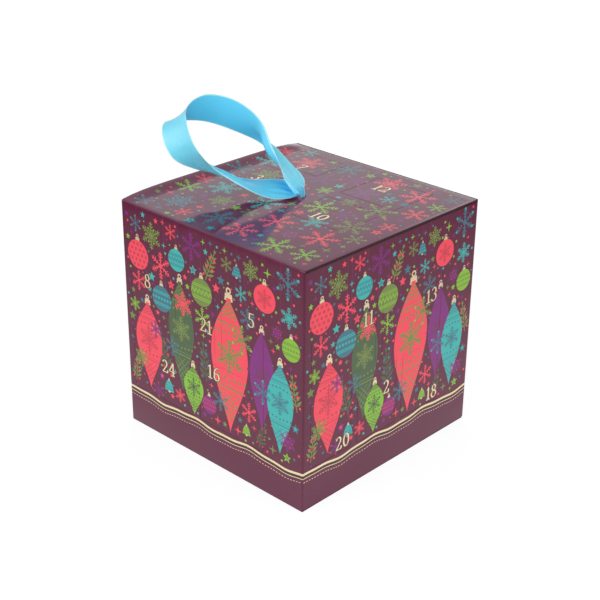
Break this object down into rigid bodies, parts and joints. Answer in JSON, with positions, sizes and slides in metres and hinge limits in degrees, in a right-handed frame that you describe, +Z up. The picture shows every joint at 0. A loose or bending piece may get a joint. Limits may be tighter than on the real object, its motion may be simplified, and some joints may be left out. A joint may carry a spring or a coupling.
{
  "type": "advent calendar",
  "caption": "Cube-shaped advent calendar: a glued card carton with numbered perforated doors over plastic pocket trays, and a satin ribbon loop knotted through its top.",
  "frame": {"origin": "middle of the carton's underside, on the surface that it stands on", "axes": "+Z up, -Y out of the front wall with door 21, +X out of the right wall with door 11"},
  "size_m": [0.2, 0.2, 0.2727],
  "materials": {
    "printed_board": "gloss-laminated, printed on the outside, bare pale board inside and at the cut edges",
    "plain_board": "uncoated, matt, slightly grey",
    "tray_plastic": "thin thermoformed sheet, white, soft gloss",
    "satin": "satin-woven ribbon with firm edges"
  },
  "bodies": {
    "carton": {"front_panel": "printed_board", "right_panel": "printed_board", "back_panel": "printed_board", "left_panel": "printed_board", "top_panel": "printed_board", "base_panel": "printed_board", "right_top_flap": "plain_board", "left_top_flap": "plain_board", "tuck_flap": "plain_board", "corner_glue_flap": "plain_board", "right_base_flap": "plain_board", "back_base_flap": "plain_board", "left_base_flap": "plain_board", "front_tray": "tray_plastic", "right_tray": "tray_plastic", "back_tray": "tray_plastic", "left_tray": "tray_plastic", "top_left_tray": "tray_plastic", "top_right_tray": "tray_plastic", "core_tube": "plain_board", "ribbon_knot": "satin"},
    "ribbon": {"ribbon_loop": "satin"},
    "door_01": {"door_01": "printed_board"},
    "door_02": {"door_02": "printed_board"},
    "door_03": {"door_03": "printed_board"},
    "door_04": {"door_04": "printed_board"},
    "door_05": {"door_05": "printed_board"},
    "door_06": {"door_06": "printed_board"},
    "door_07": {"door_07": "printed_board"},
    "door_08": {"door_08": "printed_board"},
    "door_09": {"door_09": "printed_board"},
    "door_10": {"door_10": "printed_board"},
    "door_11": {"door_11": "printed_board"},
    "door_12": {"door_12": "printed_board"},
    "door_13": {"door_13": "printed_board"},
    "door_14": {"door_14": "printed_board"},
    "door_15": {"door_15": "printed_board"},
    "door_16": {"door_16": "printed_board"},
    "door_17": {"door_17": "printed_board"},
    "door_18": {"door_18": "printed_board"},
    "door_19": {"door_19": "printed_board"},
    "door_20": {"door_20": "printed_board"},
    "door_21": {"door_21": "printed_board"},
    "door_22": {"door_22": "printed_board"},
    "door_23": {"door_23": "printed_board"},
    "door_24": {"door_24": "printed_board"}
  },
  "joints": [
    {"name": "ribbon_swing", "type": "hinge", "parent": "carton", "child": "ribbon", "pos_m": [-0.00495, 0.00495, 0.1994], "axis": [-0.7071, 0.7071, 0], "range_deg": [0, 58]},
    {"name": "door_01_crease", "type": "hinge", "parent": "carton", "child": "door_01", "pos_m": [0.0392, 0.1, 0.12717], "axis": [0, 0, -1], "range_deg": [0, 150]},
    {"name": "door_02_crease", "type": "hinge", "parent": "carton", "child": "door_02", "pos_m": [0.1, -0.0392, 0.06372], "axis": [0, 0, -1], "range_deg": [0, 150]},
    {"name": "door_03_crease", "type": "hinge", "parent": "carton", "child": "door_03", "pos_m": [-0.084, 0.016, 0.2], "axis": [0, -1, 0], "range_deg": [0, 150]},
    {"name": "door_04_crease", "type": "hinge", "parent": "carton", "child": "door_04", "pos_m": [-0.1, 0.092, 0.06372], "axis": [0, 0, -1], "range_deg": [0, 150]},
    {"name": "door_05_crease", "type": "hinge", "parent": "carton", "child": "door_05", "pos_m": [0.0136, -0.1, 0.12717], "axis": [0, 0, -1], "range_deg": [0, 150]},
    {"name": "door_06_crease", "type": "hinge", "parent": "carton", "child": "door_06", "pos_m": [-0.1, 0.092, 0.12717], "axis": [0, 0, -1], "range_deg": [0, 150]},
    {"name": "door_07_crease", "type": "hinge", "parent": "carton", "child": "door_07", "pos_m": [-0.056, 0.086, 0.2], "axis": [-1, 0, 0], "range_deg": [0, 150]},
    {"name": "door_08_crease", "type": "hinge", "parent": "carton", "child": "door_08", "pos_m": [-0.092, -0.1, 0.12717], "axis": [0, 0, -1], "range_deg": [0, 150]},
    {"name": "door_09_crease", "type": "hinge", "parent": "carton", "child": "door_09", "pos_m": [0.092, 0.1, 0.06372], "axis": [0, 0, -1], "range_deg": [0, 150]},
    {"name": "door_10_crease", "type": "hinge", "parent": "carton", "child": "door_10", "pos_m": [0.068, -0.004, 0.2], "axis": [0, 1, 0], "range_deg": [0, 150]},
    {"name": "door_11_crease", "type": "hinge", "parent": "carton", "child": "door_11", "pos_m": [0.1, -0.092, 0.12717], "axis": [0, 0, -1], "range_deg": [0, 150]},
    {"name": "door_12_crease", "type": "hinge", "parent": "carton", "child": "door_12", "pos_m": [0.04, 0.082, 0.2], "axis": [-1, 0, 0], "range_deg": [0, 150]},
    {"name": "door_13_crease", "type": "hinge", "parent": "carton", "child": "door_13", "pos_m": [0.1, -0.0128, 0.12717], "axis": [0, 0, -1], "range_deg": [0, 150]},
    {"name": "door_14_crease", "type": "hinge", "parent": "carton", "child": "door_14", "pos_m": [0.0128, 0.1, 0.06372], "axis": [0, 0, -1], "range_deg": [0, 150]},
    {"name": "door_15_crease", "type": "hinge", "parent": "carton", "child": "door_15", "pos_m": [-0.1, 0.0392, 0.06372], "axis": [0, 0, -1], "range_deg": [0, 150]},
    {"name": "door_16_crease", "type": "hinge", "parent": "carton", "child": "door_16", "pos_m": [-0.0128, -0.1, 0.06372], "axis": [0, 0, -1], "range_deg": [0, 150]},
    {"name": "door_17_crease", "type": "hinge", "parent": "carton", "child": "door_17", "pos_m": [0.092, 0.1, 0.12717], "axis": [0, 0, -1], "range_deg": [0, 150]},
    {"name": "door_18_crease", "type": "hinge", "parent": "carton", "child": "door_18", "pos_m": [0.1, 0.0136, 0.06372], "axis": [0, 0, -1], "range_deg": [0, 150]},
    {"name": "door_19_crease", "type": "hinge", "parent": "carton", "child": "door_19", "pos_m": [-0.1, -0.0136, 0.06372], "axis": [0, 0, -1], "range_deg": [0, 150]},
    {"name": "door_20_crease", "type": "hinge", "parent": "carton", "child": "door_20", "pos_m": [0.1, -0.092, 0.06372], "axis": [0, 0, -1], "range_deg": [0, 150]},
    {"name": "door_21_crease", "type": "hinge", "parent": "carton", "child": "door_21", "pos_m": [-0.0392, -0.1, 0.12717], "axis": [0, 0, -1], "range_deg": [0, 150]},
    {"name": "door_22_crease", "type": "hinge", "parent": "carton", "child": "door_22", "pos_m": [-0.1, 0.0128, 0.12717], "axis": [0, 0, -1], "range_deg": [0, 150]},
    {"name": "door_23_crease", "type": "hinge", "parent": "carton", "child": "door_23", "pos_m": [-0.0136, 0.1, 0.12717], "axis": [0, 0, -1], "range_deg": [0, 150]},
    {"name": "door_24_crease", "type": "hinge", "parent": "carton", "child": "door_24", "pos_m": [-0.092, -0.1, 0.06372], "axis": [0, 0, -1], "range_deg": [0, 150]}
  ]
}
